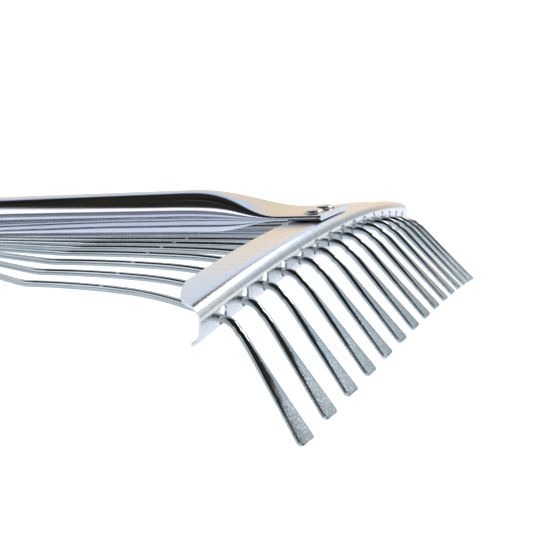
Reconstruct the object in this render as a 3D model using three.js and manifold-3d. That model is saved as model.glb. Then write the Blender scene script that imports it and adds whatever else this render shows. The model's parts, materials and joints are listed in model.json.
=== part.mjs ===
// Adjustable leaf rake: a fan of fifteen spring tines guided by a slotted cross plate on a
// pinched steel tube, a sliding tine carrier with a cam-lever clamp, and a telescopic handle.
// Millimetres. +Z up, -Y towards the tine tips, +Y towards the grip.
//
// Everything is drawn in the tube's frame: the tube axis is the Y axis and the cross plate's
// face stands at y = 0. The whole rake is then tipped so that it lies on its outer tips and grip.
import * as THREE from "three";
import { mergeVertices } from "three/addons/utils/BufferGeometryUtils.js";
import Module from "manifold-3d";

const wasm = await Module();
wasm.setup();

const GAP = 0.3; // between pieces that touch on the real rake
const RAD = Math.PI / 180;

// Tubes
const TUBE_R = 10.5;
const TUBE_WALL = 1.0;
const TUBE_END_Y = 600;
const PINCH = { front: 5, flat: 26, round: 84, thick: 2.2, hollow: 0.2, drop: 1.9 };
const ROD_R = 8.9; // telescopic upper tube
const ROD_WALL = 0.9;
const ROD_FRONT_Y = 130;

// Cross plate: a sheet folded along its length, arched in height and in plan
const SHEET = 1.0;
const PLATE_TILT = 10 * RAD; // its face leans forwards against the tube's square section
const PLATE_HALF = 111;
const PLATE_DROP = 12.6; // its ends lie lower than its middle
const PLATE_SWEEP = 4.6; // and further back
const FLANGE_Z = -(PINCH.drop + PINCH.thick / 2 + GAP); // its top, level with the tube, at mid-span
const FLANGE_DEPTH = 20.5;
const FOLD_R = 5;
const LIP_Z = -13.8; // where the face starts to curl back
const LIP_R = 5.5;
const LIP_TURN = 75 * RAD;
const PLATE_CORNER = { along: 32, deep: 20 }; // quarter ellipse off each rear corner

// Slots and tines
const TINES = 15;
const PITCH = 14; // between slots
const SLOT = { width: 4.4, height: 7.3, bottom: -14.8, drop: 14.6 }; // drop at the plate's ends
const WIRE_R = 1.6;
const WIRE_SIDES = 8;
const TIP = { width: 7.4, thick: 1.9 };
const LEG_SECTIONS = [ // share of the leg's length, width and thickness
  [0.25, WIRE_R * 2.12, WIRE_R * 1.9],
  [0.5, 4.8, 2.5],
  [0.75, 6.1, 2.1],
  [0.96, TIP.width, TIP.thick],
  [1, TIP.width * 0.68, TIP.thick * 0.85],
];
const LEG_FAN = 3.58e-3; // radians of splay per millimetre off centre
const EXIT = { run: 1.5, reach: 7.8, drop: 1.6 }; // straight out of the slot, then to the bend
const REACH = { out: 38, drop: 36.7 }; // of the tip from the slot
const HOOK = { drop: 0.55, run: 1.9 }; // bend between a tine's pivot pin and its wire

// Tine carrier
const CARRIER_Y = 250; // tine pivots when the fan is narrow
const CARRIER_TRAVEL = 130;
const NEAR_RISE = { height: 3.0, run: 55 }; // of a wire behind its slot, no more than the slot clears
const PIVOT_PITCH = 5;
const TURN_SHARE = 0.9; // tine turn per travel, as a share of the even rate over the full travel
const TINE_Z = -(TUBE_R + WIRE_R + GAP); // wire centres at the pivots, just under the tube
const PIN_LENGTH = 6.2;
const BRACKET = { half: 43, front: CARRIER_Y - 6, back: CARRIER_Y + 31, thick: 1.8, corner: 8 };
const BAND = { thick: 1.6, front: CARRIER_Y - 3, back: CARRIER_Y + 27 };
const STRIP = { half: 40, front: CARRIER_Y + 5.5, back: CARRIER_Y + 14 };
const BRACKET_RIVETS = { places: [-35, -20, 20, 35], shank: 2, head: 3.6, high: 1.3 };
const EAR = { gap: 4, top: 25, bolt: 18.5, front: CARRIER_Y + 2, back: CARRIER_Y + 22 };
const BOLT_R = 2.5;
const LEVER = { x: -13.5, pin: 1.6, cheek: 2.2, cam: 6.5, length: 52, height: 12, eye: 4.4 };

// Handle end
const COLLAR = { front: 574, back: 622, r: 16.5 };
const GRIP = { front: 634, back: 762, r: 14.5 };
const CAP = { back: 796, r: 14.2, hole: 6, tab: 7, tabHalf: 11 };
const ROD_BACK_Y = CAP.back - 30;
const COLLET_R = 12.2;

const STEEL = { color: 0xc9cdd2, roughness: 0.18, metalness: 1 };
const PLATE_STEEL = { color: 0xd8d4cc, roughness: 0.35, metalness: 1 };
const FASTENER = { color: 0xd9d3c0, roughness: 0.3, metalness: 1 };
const PLASTIC = { color: 0x1b1c1e, roughness: 0.5, metalness: 0 };
const RUBBER = { color: 0x232426, roughness: 0.85, metalness: 0 };

// ---- geometry helpers ----

function toSolid(geometry) {
  const bare = geometry.clone();
  bare.deleteAttribute("normal");
  bare.deleteAttribute("uv");
  const merged = mergeVertices(bare, 1e-4);
  return new wasm.Manifold(new wasm.Mesh({
    numProp: 3,
    vertProperties: merged.attributes.position.array,
    triVerts: new Uint32Array(merged.index.array),
  }));
}

function toGeometry(solid) {
  const mesh = solid.getMesh();
  const geometry = new THREE.BufferGeometry();
  geometry.setAttribute("position", new THREE.BufferAttribute(mesh.vertProperties, 3));
  geometry.setIndex(new THREE.BufferAttribute(mesh.triVerts, 1));
  geometry.computeVertexNormals();
  return geometry;
}

function cut(geometry, ...tools) {
  return toGeometry(tools.reduce((left, tool) => left.subtract(toSolid(tool)), toSolid(geometry)));
}

function join(first, ...others) {
  return toGeometry(others.reduce((sum, other) => sum.add(toSolid(other)), toSolid(first)));
}

// A skin over matching rings of points, closed by a flat face on the first and the last ring.
function loft(rings) {
  const count = rings[0].length;
  const points = rings.flat();
  const index = [];
  for (let ring = 0; ring + 1 < rings.length; ring++) {
    for (let k = 0; k < count; k++) {
      const a = ring * count + k;
      const b = ring * count + ((k + 1) % count);
      index.push(a, a + count, b, b, a + count, b + count);
    }
  }
  capRing(rings[0]).forEach(([a, b, c]) => index.push(a, b, c));
  const last = points.length - count;
  capRing(rings.at(-1)).forEach(([a, b, c]) => index.push(last + a, last + c, last + b));
  const geometry = new THREE.BufferGeometry().setFromPoints(points).setIndex(index);
  if (signedVolume(geometry) < 0) geometry.setIndex(index.reverse());
  return geometry;
}

// Triangles over a ring, turned the way that the ring runs.
function capRing(ring) {
  const normal = ring.reduce(
    (sum, p, k) => sum.add(new THREE.Vector3().crossVectors(p, ring[(k + 1) % ring.length])),
    new THREE.Vector3(),
  ).normalize();
  const turn = new THREE.Quaternion().setFromUnitVectors(normal, new THREE.Vector3(0, 0, 1));
  const flat = ring.map((p) => {
    const { x, y } = p.clone().applyQuaternion(turn);
    return new THREE.Vector2(x, y);
  });
  return THREE.ShapeUtils.triangulateShape(flat, []);
}

function signedVolume(geometry) {
  const [a, b, c] = [new THREE.Vector3(), new THREE.Vector3(), new THREE.Vector3()];
  const { position } = geometry.attributes;
  const index = geometry.index.array;
  let six = 0;
  for (let k = 0; k < index.length; k += 3) {
    a.fromBufferAttribute(position, index[k]);
    b.fromBufferAttribute(position, index[k + 1]);
    c.fromBufferAttribute(position, index[k + 2]);
    six += a.dot(b.cross(c));
  }
  return six;
}

// A cylinder along Y, Z or X between two places on that axis.
function rodY(r, from, to, sides) {
  return new THREE.CylinderGeometry(r, r, to - from, sides).translate(0, (from + to) / 2, 0);
}

function rodZ(r, from, to, x, y, sides = 14) {
  return new THREE.CylinderGeometry(r, r, to - from, sides)
    .rotateX(Math.PI / 2)
    .translate(x, y, (from + to) / 2);
}

function rodX(r, from, to, y, z, sides = 14) {
  return new THREE.CylinderGeometry(r, r, to - from, sides)
    .rotateZ(Math.PI / 2)
    .translate((from + to) / 2, y, z);
}

function box(x0, x1, y0, y1, z0, z1) {
  return new THREE.BoxGeometry(x1 - x0, y1 - y0, z1 - z0)
    .translate((x0 + x1) / 2, (y0 + y1) / 2, (z0 + z1) / 2);
}

// A ring of revolution about Y from [radius, y] corners listed round its closed section.
function turned(corners, sides = 24) {
  const profile = [...corners, corners[0]].map(([r, y]) => new THREE.Vector2(r, y));
  const geometry = new THREE.LatheGeometry(profile, sides);
  if (signedVolume(geometry) < 0) geometry.setIndex([...geometry.index.array].reverse());
  return geometry;
}

// A flat outline, given in X and Y, thickened from z0 to z1.
function slab(shape, z0, z1, curveSegments = 5) {
  return new THREE.ExtrudeGeometry(shape, { depth: z1 - z0, bevelEnabled: false, curveSegments })
    .translate(0, 0, z0);
}

function roundedRect(x0, x1, y0, y1, r) {
  const shape = new THREE.Shape();
  shape.absarc(x1 - r, y1 - r, r, 0, Math.PI / 2);
  shape.absarc(x0 + r, y1 - r, r, Math.PI / 2, Math.PI);
  shape.absarc(x0 + r, y0 + r, r, Math.PI, Math.PI * 1.5);
  shape.absarc(x1 - r, y0 + r, r, Math.PI * 1.5, Math.PI * 2);
  return shape;
}

const rake = new THREE.Group();

function add(name, geometry, material) {
  const mesh = new THREE.Mesh(geometry, new THREE.MeshStandardMaterial(material));
  mesh.name = name;
  rake.add(mesh);
  return mesh;
}

// ---- lower tube: round, pinched flat at the head ----

// Section of the pinched tube at y. Its girth stays that of the round tube.
function pinchSection(y, radius, sides = 28) {
  const t = THREE.MathUtils.clamp((y - PINCH.flat) / (PINCH.round - PINCH.flat), 0, 1);
  const ease = t * t * (3 - 2 * t);
  const flatness = radius === TUBE_R ? PINCH.thick : PINCH.hollow;
  const height = flatness + (2 * radius - flatness) * Math.sin((ease * Math.PI) / 2);
  const straight = (Math.PI * (2 * radius - height)) / 4; // half of the flat run
  const z = -PINCH.drop * (1 - ease);
  const ring = [];
  for (let k = 0; k < sides; k++) {
    const angle = ((k + 0.5) / sides) * 2 * Math.PI;
    const side = Math.sign(Math.cos(angle)) * straight;
    const out = (height / 2) * Math.cos(angle);
    const up = (height / 2) * Math.sin(angle);
    ring.push(new THREE.Vector3(side + out, y, z + up));
  }
  return ring;
}

const PINCH_STEPS = [26, 32, 38, 44, 50, 57, 64, 72, 84];
const PLATE_RIVETS = { x: 6.2, y: 12.5, shank: 2.2, head: 4.6, high: 1.5 };

function lowerTube() {
  const outside = [PINCH.front, ...PINCH_STEPS, TUBE_END_Y];
  const inside = [...PINCH_STEPS.slice(2), TUBE_END_Y + 1];
  const outer = loft(outside.map((y) => pinchSection(y, TUBE_R)));
  const hollow = loft(inside.map((y) => pinchSection(y, TUBE_R - TUBE_WALL)));
  return cut(outer, hollow, ...plateRivetHoles());
}

function plateRivetHoles() {
  const { x, y, shank } = PLATE_RIVETS;
  return [-x, x].map((place) => rodZ(shank + GAP, FLANGE_Z - 4, FLANGE_Z + 4, place, y));
}

// ---- cross plate ----

const arch = (x) => PLATE_DROP * (x / PLATE_HALF) ** 2;
const sweep = (x) => PLATE_SWEEP * (x / PLATE_HALF) ** 2;
const slotDrop = (x) => SLOT.drop * (x / PLATE_HALF) ** 2;

// Outer line of the folded sheet in its upright section: flange, fold, face and curled lip.
function plateProfile() {
  const level = (y) => (FLANGE_Z - y * Math.sin(PLATE_TILT)) / Math.cos(PLATE_TILT);
  const centre = (FLANGE_Z - FOLD_R * (1 + Math.sin(PLATE_TILT))) / Math.cos(PLATE_TILT);
  const path = [[FLANGE_DEPTH, level(FLANGE_DEPTH)]];
  const steps = 4;
  for (let k = 0; k <= steps; k++) {
    const angle = -PLATE_TILT + (k / steps) * (Math.PI / 2 + PLATE_TILT);
    path.push([FOLD_R * (1 - Math.sin(angle)), centre + FOLD_R * Math.cos(angle)]);
  }
  for (let k = 0; k <= steps; k++) {
    const angle = (k / steps) * LIP_TURN;
    path.push([LIP_R * (1 - Math.cos(angle)), LIP_Z - LIP_R * Math.sin(angle)]);
  }
  return path;
}

// The profile with the sheet's thickness, as one closed ring of [y, z].
function sheetRing(path, thick) {
  const side = (offset) => path.map(([y, z], k) => {
    const [ya, za] = path[Math.max(k - 1, 0)];
    const [yb, zb] = path[Math.min(k + 1, path.length - 1)];
    const length = Math.hypot(yb - ya, zb - za);
    return [y - ((zb - za) / length) * offset, z + ((yb - ya) / length) * offset];
  });
  return [...side(0), ...side(thick).reverse()];
}

function slotCutter(x) {
  const shape = new THREE.Shape();
  const r = SLOT.width / 2;
  shape.absarc(0, SLOT.bottom + SLOT.height - r, r, 0, Math.PI);
  shape.absarc(0, SLOT.bottom + r, r, Math.PI, 2 * Math.PI);
  return slab(shape, -8, 8, 4).rotateX(Math.PI / 2).translate(x, sweep(x), -slotDrop(x));
}

function crossPlate() {
  const section = sheetRing(plateProfile(), SHEET);
  const steps = 16;
  const rings = [];
  for (let k = 0; k <= steps; k++) {
    const x = PLATE_HALF * ((2 * k) / steps - 1);
    rings.push(section.map(([y, z]) => new THREE.Vector3(x, y + sweep(x), z - arch(x))));
  }
  const { along, deep } = PLATE_CORNER;
  const back = FLANGE_DEPTH + PLATE_SWEEP;
  const outline = new THREE.Shape();
  outline.moveTo(-PLATE_HALF - 1, -20);
  outline.lineTo(PLATE_HALF + 1, -20);
  outline.absellipse(PLATE_HALF - along, back - deep, along, deep, 0, Math.PI / 2);
  outline.absellipse(-PLATE_HALF + along, back - deep, along, deep, Math.PI / 2, Math.PI);
  const trimmed = toSolid(loft(rings)).intersect(toSolid(slab(outline, -60, 10, 8)));
  const rivetHoles = plateRivetHoles().map((hole) => hole.rotateX(-PLATE_TILT));
  return cut(toGeometry(trimmed), ...slotPlaces().map((x) => slotCutter(x)), ...rivetHoles);
}

function slotPlaces() {
  return Array.from({ length: TINES }, (_, k) => PITCH * (k - (TINES - 1) / 2));
}

// ---- tines ----

// Where the wire's centre crosses the cross plate, in the tube's frame.
function slotPoint(x) {
  return new THREE.Vector3(x, sweep(x) + SHEET / 2, SLOT.bottom + SLOT.width / 2 - slotDrop(x))
    .applyAxisAngle(new THREE.Vector3(1, 0, 0), PLATE_TILT);
}

// A tine's turn, in radians per millimetre that its carrier moves forwards.
function turnRate(x, pivotX) {
  const slot = slotPoint(x);
  const lengthways = CARRIER_Y - slot.y;
  const across = x - pivotX;
  const opening = Math.atan2(across, lengthways - CARRIER_TRAVEL) - Math.atan2(across, lengthways);
  return (TURN_SHARE * opening) / CARRIER_TRAVEL;
}

// The wire's plan line behind the plate, seen from its pivot. It is bowed so that it stays in
// its slot while the carrier slides forwards and the tine turns with it at an even rate.
function bowPoint(x, pivotX, travel) {
  const slot = slotPoint(x);
  const lengthways = CARRIER_Y - slot.y - travel;
  const across = x - pivotX;
  const angle = Math.atan2(across, lengthways) - turnRate(x, pivotX) * travel;
  const distance = Math.hypot(across, lengthways);
  return [distance * Math.sin(angle), -distance * Math.cos(angle)];
}

// Height of a wire above its slot, at a distance behind it. It climbs a little at once, stays
// level over the length that slides in the slot, and then climbs on to the pivot.
function rise(slot, distance) {
  const total = TINE_Z - slot.z;
  const near = Math.min(total, NEAR_RISE.height);
  const early = Math.sin((Math.min(distance / NEAR_RISE.run, 1) * Math.PI) / 2);
  const share = THREE.MathUtils.smoothstep(distance, CARRIER_TRAVEL - 5, CARRIER_Y - slot.y);
  return near * early + (total - near) * share ** 0.65;
}

// Path of one wire from its pivot pin to its tip, with a width and a thickness at each point.
function tinePath(x, pivotX) {
  const slot = slotPoint(x);
  const heading = LEG_FAN * x;
  const wire = 2 * WIRE_R;
  const path = [];
  const put = (px, py, pz, width = wire, thick = wire) =>
    path.push({ at: new THREE.Vector3(px, py, pz), width, thick });
  put(0, 0, TINE_Z - PIN_LENGTH);
  put(0, 0, TINE_Z - HOOK.run);
  put(0, -HOOK.drop, TINE_Z - HOOK.drop);
  const [rearX, rearY] = bowPoint(x, pivotX, CARRIER_TRAVEL);
  const start = Math.atan2(rearX, -rearY);
  put(HOOK.run * Math.sin(start), -HOOK.run * Math.cos(start), TINE_Z);
  const steps = 7;
  const behind = CARRIER_Y - slot.y;
  for (const share of [0.2, 0.45, 0.7, 0.87]) {
    put(rearX * share, rearY * share, slot.z + rise(slot, behind + rearY * share));
  }
  for (let k = steps; k >= 0; k--) {
    const [px, py] = bowPoint(x, pivotX, (CARRIER_TRAVEL * k) / steps);
    put(px, py, slot.z + rise(slot, behind + py));
  }
  const [footX, footY] = bowPoint(x, pivotX, 0);
  const out = (reach, drop, width, thick) => {
    const px = footX + reach * Math.sin(heading);
    const py = footY - reach * Math.cos(heading);
    put(px, py, slot.z - drop, width, thick);
  };
  out(EXIT.run, 0);
  out(EXIT.reach - 3.4, EXIT.drop * 0.35);
  out(EXIT.reach - 0.6, EXIT.drop * 1.05);
  out(EXIT.reach + 1.3, EXIT.drop + 2.6);
  for (const [share, width, thick] of LEG_SECTIONS) {
    const reach = EXIT.reach + (REACH.out - EXIT.reach) * share;
    const drop = EXIT.drop + (REACH.drop - EXIT.drop) * share;
    out(reach, drop, width, thick);
  }
  return path;
}

// A wire's skin: a ring square to the path at each point, its width held level.
function wireSkin(path) {
  const rings = path.map(({ at, width, thick }, k) => {
    const before = path[Math.max(k - 1, 0)].at;
    const after = path[Math.min(k + 1, path.length - 1)].at;
    const along = after.clone().sub(before).normalize();
    const level = after.clone().sub(before).setZ(0);
    if (level.length() < GAP) level.set(0, -1, 0);
    const side = new THREE.Vector3(0, 0, 1).cross(level).normalize();
    const up = along.clone().cross(side).normalize();
    return Array.from({ length: WIRE_SIDES }, (_, n) => {
      const angle = ((n + 0.5) / WIRE_SIDES) * 2 * Math.PI;
      return at.clone()
        .addScaledVector(side, (width / 2) * Math.cos(angle))
        .addScaledVector(up, (thick / 2) * Math.sin(angle));
    });
  });
  return loft(rings);
}

function pivotPlaces() {
  return slotPlaces().map((x) => (x / PITCH) * PIVOT_PITCH);
}

// ---- tine carrier ----

const BRACKET_TOP = TINE_Z - WIRE_R - GAP;
const FLANGE_UNDER = TINE_Z + WIRE_R + GAP;

function carrierPlate() {
  const { half, front, back, thick, corner } = BRACKET;
  const plate = slab(roundedRect(-half, half, front, back, corner), BRACKET_TOP - thick, BRACKET_TOP);
  const pinHoles = pivotPlaces().map((x) => rodZ(WIRE_R + GAP, -30, 0, x, CARRIER_Y, 10));
  return cut(plate, ...pinHoles, ...bracketRivetHoles());
}

function bracketRivetHoles() {
  return BRACKET_RIVETS.places.map((x) => rodZ(BRACKET_RIVETS.shank + GAP, -30, 0, x, rivetY()));
}

function rivetY() {
  return (STRIP.front + STRIP.back) / 2;
}

// Strip that holds the band's flanges off the plate, behind the tine pins.
function spacerStrip() {
  const strip = slab(roundedRect(-STRIP.half, STRIP.half, STRIP.front, STRIP.back, 2),
    BRACKET_TOP + GAP / 2, FLANGE_UNDER - GAP / 2);
  return cut(strip, ...bracketRivetHoles());
}

// Half of the split band: an ear, a quarter round over the tube, a leg and a flange over the tines.
function bandHalf(side) {
  const inner = TUBE_R + GAP;
  const outer = inner + BAND.thick;
  const earIn = EAR.gap / 2;
  const earOut = earIn + BAND.thick;
  const shape = new THREE.Shape();
  shape.moveTo(earIn, EAR.top);
  shape.lineTo(earIn, Math.sqrt(inner ** 2 - earIn ** 2));
  shape.absarc(0, 0, inner, Math.acos(earIn / inner), 0, true);
  shape.lineTo(inner, FLANGE_UNDER);
  shape.lineTo(BRACKET.half - 1, FLANGE_UNDER);
  shape.lineTo(BRACKET.half - 1, FLANGE_UNDER + BAND.thick);
  shape.lineTo(outer, FLANGE_UNDER + BAND.thick);
  shape.lineTo(outer, 0);
  shape.absarc(0, 0, outer, 0, Math.acos(earOut / outer), false);
  shape.lineTo(earOut, EAR.top);
  const half = new THREE.ExtrudeGeometry(shape, {
    depth: BAND.back - BAND.front, bevelEnabled: false, curveSegments: 7,
  }).rotateX(Math.PI / 2).translate(0, BAND.back, 0);
  const boltHole = rodX(BOLT_R + GAP, 0, 10, boltY(), EAR.bolt);
  const earTrims = [[BAND.front - 1, EAR.front], [EAR.back, BAND.back + 1]]
    .map(([from, to]) => box(0, 10, from, to, inner + BAND.thick + 0.4, EAR.top + 1));
  const made = toSolid(cut(half, ...bracketRivetHoles(), boltHole, ...earTrims));
  return toGeometry(side > 0 ? made : made.mirror([1, 0, 0]));
}

function boltY() {
  return (EAR.front + EAR.back) / 2;
}

// A rivet with a low domed head above and a flat one below.
function rivet(x, y, top, bottom, shank, head, high) {
  const profile = [
    [0, bottom - high], [head * 0.9, bottom - high], [head * 0.9, bottom], [shank, bottom],
    [shank, top], [head, top], [head * 0.85, top + high * 0.65], [head * 0.4, top + high],
    [0, top + high],
  ];
  return new THREE.LatheGeometry(profile.map(([r, z]) => new THREE.Vector2(r, z)), 12)
    .rotateX(Math.PI / 2).translate(x, y, 0);
}

// Cross bolt of the clamp, with a flat eye for the lever's pin at its left end.
function clampBolt() {
  const { x, pin, eye: eyeR } = LEVER;
  const shaft = rodX(BOLT_R, x + 1, 13, boltY(), EAR.bolt);
  const eye = rodZ(eyeR, EAR.bolt - eyeR / 2, EAR.bolt + eyeR / 2, x, boltY());
  return cut(join(shaft, eye), rodZ(pin + GAP, 0, 40, x, boltY()));
}

function clampNut() {
  const from = EAR.gap / 2 + BAND.thick + GAP;
  const hex = rodX(5.2, from, from + 5, boltY(), EAR.bolt, 6);
  return cut(hex, rodX(BOLT_R + GAP, 0, 20, boltY(), EAR.bolt));
}

// Cam lever: two cheeks with a cam round the eye, joined by a pressed channel handle.
function clampLever() {
  const { x, pin, cheek, cam, length, height } = LEVER;
  const y = boltY();
  const shape = new THREE.Shape();
  shape.absarc(0, 0, cam, Math.PI, Math.PI * 2);
  shape.bezierCurveTo(cam, 14, 1, 16, 0, 24);
  shape.lineTo(-1, length - 3);
  shape.absarc(-4, length - 3, 3, 0, Math.PI);
  shape.bezierCurveTo(-8.5, 22, -cam, 12, -cam, 0);
  const body = slab(shape, EAR.bolt - height / 2, EAR.bolt + height / 2).translate(x, y, 0);
  const inside = height / 2 - cheek;
  const slot = box(x - 20, x + 20, y - 20, y + 11, EAR.bolt - inside, EAR.bolt + inside);
  const pinHole = rodZ(pin + GAP, 0, 40, x, y);
  return cut(body, slot, pinHole);
}

function leverPin() {
  const reach = LEVER.height / 2 + 1.4;
  return rodZ(LEVER.pin, EAR.bolt - reach, EAR.bolt + reach, LEVER.x, boltY());
}

// ---- telescopic handle ----

function upperTube() {
  const inner = ROD_R - ROD_WALL;
  return turned([[inner, ROD_FRONT_Y], [ROD_R, ROD_FRONT_Y], [ROD_R, ROD_BACK_Y], [inner, ROD_BACK_Y]]);
}

// Plug on the front of the upper tube, which runs in the lower tube.
function guidePlug() {
  const bore = TUBE_R - TUBE_WALL - GAP;
  const neck = ROD_R - ROD_WALL - GAP;
  const front = ROD_FRONT_Y - 12;
  const profile = [
    [0, front], [bore - 1, front], [bore, front + 1.5], [bore, ROD_FRONT_Y - GAP],
    [neck, ROD_FRONT_Y - GAP], [neck, ROD_FRONT_Y + 16], [0, ROD_FRONT_Y + 16],
  ];
  return new THREE.LatheGeometry(profile.map(([r, y]) => new THREE.Vector2(r, y)), 24);
}

// Split collet round the upper tube, seated on the lower tube's end.
function collet() {
  const bore = ROD_R + GAP;
  const from = TUBE_END_Y + GAP;
  const back = COLLAR.back - 3;
  const ring = turned([[bore, from], [COLLET_R, from], [COLLET_R, back - 5], [11, back], [bore, back]]);
  const splits = [0, Math.PI / 2].map((angle) =>
    box(-0.6, 0.6, from + 5, COLLAR.back, -20, 20).rotateY(angle));
  return cut(ring, ...splits);
}

// Twist collar that closes the collet, with grip flutes.
function lockCollar() {
  const { front, back, r } = COLLAR;
  const bore = TUBE_R + GAP;
  const neck = ROD_R + 2 * GAP;
  const seat = COLLET_R + GAP;
  const ring = turned([
    [bore, front], [r - 2, front], [r, front + 5], [r, back - 6], [r - 2.5, back],
    [neck, back], [neck, back - 2.4], [seat, back - 2.4 - GAP],
    [seat, TUBE_END_Y - 2], [bore, TUBE_END_Y - 2],
  ]);
  const flutes = Array.from({ length: 8 }, (_, k) =>
    rodY(2.4, front + 8, back - 9, 6).translate(r + 0.9, 0, 0).rotateY((k * Math.PI) / 4));
  return cut(ring, ...flutes);
}

function grip() {
  const { front, back, r } = GRIP;
  const bore = ROD_R + GAP;
  const outside = [[r - 2, front], [r - 0.5, front + 3], [r, front + 9]];
  const waves = 6;
  const waveDepth = 1.2;
  for (let k = 1; k < waves; k++) {
    const y = front + 9 + ((back - front - 18) * k) / waves;
    outside.push([r - (k % 2 ? waveDepth : 0), y]);
  }
  outside.push([r, back - 9], [r - 0.5, back]);
  return turned([[bore, front], ...outside, [bore, back]]);
}

// End cap with a flat tab and a hanging hole.
function endCap() {
  const { back, r, hole, tab, tabHalf } = CAP;
  const from = GRIP.back + GAP;
  const axis = 0.01;
  const bore = ROD_R + GAP;
  const seat = ROD_BACK_Y + GAP;
  const cup = turned([
    [axis, seat], [bore, seat], [bore, from], [r - 0.5, from], [r, from + 4],
    [r - 3, from + 10], [axis, from + 10],
  ]);
  const shape = new THREE.Shape();
  shape.absarc(0, back - tabHalf, tabHalf, 0, Math.PI);
  shape.lineTo(-tabHalf, from + 6);
  shape.lineTo(tabHalf, from + 6);
  const flat = slab(shape, -tab / 2, tab / 2, 12).rotateY(Math.PI / 2);
  return cut(join(cup, flat), rodX(hole, -10, 10, back - tabHalf, 0, 16));
}

// ---- assembly ----

add("lower_tube", lowerTube(), STEEL);
add("cross_plate", crossPlate(), PLATE_STEEL).rotation.x = PLATE_TILT;
[["left", -1], ["right", 1]].forEach(([name, side]) => {
  const { x, y, shank, head, high } = PLATE_RIVETS;
  const top = -PINCH.drop + PINCH.thick / 2 + GAP;
  add("plate_rivet_" + name, rivet(side * x, y, top, FLANGE_Z - SHEET - GAP, shank, head, high), FASTENER);
});
slotPlaces().forEach((x, k) => {
  const pivotX = (x / PITCH) * PIVOT_PITCH;
  const tine = add("tine_" + String(k + 1).padStart(2, "0"), wireSkin(tinePath(x, pivotX)), STEEL);
  tine.position.set(pivotX, CARRIER_Y, 0);
});
add("carrier_plate", carrierPlate(), PLATE_STEEL);
add("spacer_strip", spacerStrip(), PLATE_STEEL);
add("band_left", bandHalf(-1), PLATE_STEEL);
add("band_right", bandHalf(1), PLATE_STEEL);
BRACKET_RIVETS.places.forEach((x, k) => {
  const { shank, head, high } = BRACKET_RIVETS;
  const top = FLANGE_UNDER + BAND.thick + GAP;
  const bottom = BRACKET_TOP - BRACKET.thick - GAP;
  add("carrier_rivet_" + (k + 1), rivet(x, rivetY(), top, bottom, shank, head, high), FASTENER);
});
add("clamp_bolt", clampBolt(), FASTENER);
add("clamp_nut", clampNut(), FASTENER);
add("clamp_lever", clampLever(), PLATE_STEEL);
add("lever_pin", leverPin(), FASTENER);
add("upper_tube", upperTube(), STEEL);
add("guide_plug", guidePlug(), PLASTIC);
add("collet", collet(), PLASTIC);
add("lock_collar", lockCollar(), PLASTIC);
add("grip", grip(), RUBBER);
add("end_cap", endCap(), PLASTIC);

// Tipped until the outer tine tips and the grip lie on one level, then set on it, centred.
function lowestPoint(names) {
  let low = new THREE.Vector3(0, 0, Infinity);
  for (const name of names) {
    const mesh = rake.getObjectByName(name);
    mesh.updateMatrix();
    const { position } = mesh.geometry.attributes;
    for (let k = 0; k < position.count; k++) {
      const p = new THREE.Vector3().fromBufferAttribute(position, k).applyMatrix4(mesh.matrix);
      if (p.z < low.z) low = p;
    }
  }
  return low;
}

const tip = lowestPoint(["tine_01"]);
const heel = new THREE.Vector3(0, GRIP.back - 9, -GRIP.r);
rake.rotation.x = -Math.atan2(heel.z - tip.z, heel.y - tip.y);
rake.updateMatrixWorld(true);
const bounds = new THREE.Box3().setFromObject(rake, true);
const middle = bounds.getCenter(new THREE.Vector3());
rake.position.set(-middle.x, -middle.y, -bounds.min.z);

export default rake;
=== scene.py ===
# Adjustable leaf rake: fifteen zinc-plated spring tines fanned through a folded cross plate on a
# pinched tube, with a sliding tine carrier, a cam clamp and a telescopic handle.
import json
import math

import bmesh
import bpy
import numpy as np
from mathutils import Matrix, Vector


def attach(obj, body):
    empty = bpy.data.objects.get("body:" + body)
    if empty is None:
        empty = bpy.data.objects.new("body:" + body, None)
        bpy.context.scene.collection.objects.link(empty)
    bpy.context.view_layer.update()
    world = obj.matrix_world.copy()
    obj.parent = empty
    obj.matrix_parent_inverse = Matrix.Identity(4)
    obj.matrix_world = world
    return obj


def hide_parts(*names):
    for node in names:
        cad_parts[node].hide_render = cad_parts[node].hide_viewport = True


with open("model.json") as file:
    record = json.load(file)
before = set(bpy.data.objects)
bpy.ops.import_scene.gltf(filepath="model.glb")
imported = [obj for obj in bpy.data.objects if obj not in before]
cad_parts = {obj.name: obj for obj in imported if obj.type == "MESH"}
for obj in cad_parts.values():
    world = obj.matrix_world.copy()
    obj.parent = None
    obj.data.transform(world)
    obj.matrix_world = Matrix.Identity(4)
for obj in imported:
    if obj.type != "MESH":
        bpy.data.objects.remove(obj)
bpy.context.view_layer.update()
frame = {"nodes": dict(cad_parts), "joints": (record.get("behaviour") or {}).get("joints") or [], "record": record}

MM = 0.001
AXIS = 0.02  # smallest radius of a turned profile, beside its axis
TAU = 2 * math.pi
ROOT = "head_and_lower_tube"
CARRIER = "carrier"
HANDLE = "upper_handle"

# Sizes in millimetres, in the tube's frame: Y is the tube's axis, the cross plate stands at y = 0
TUBE_R, TUBE_WALL, TUBE_END = 10.5, 1.0, 600.0
PINCH_FRONT, PINCH_FLAT, PINCH_ROUND, PINCH_DROP = 5.0, 26.0, 84.0, 1.9
PINCH_THICK, PINCH_GAP = 2.2, 0.2  # the flat's outside and its hollow
TILT = math.radians(10)
PLATE_HALF, PLATE_DROP, PLATE_SWEEP = 111.0, 12.6, 4.6
FLANGE_Z, FLANGE_DEPTH, CORNER_ALONG, CORNER_DEEP = -3.3, 20.5, 32.0, 20.0
FOLD_R, LIP_Z, LIP_R, LIP_TURN, SHEET = 5.0, -13.8, 5.5, math.radians(75), 1.0
TINES, PITCH, PIVOT_PITCH = 15, 14.0, 5.0
SLOT_W, SLOT_H, SLOT_BOTTOM, SLOT_DROP = 4.4, 7.3, -14.8, 14.6
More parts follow.
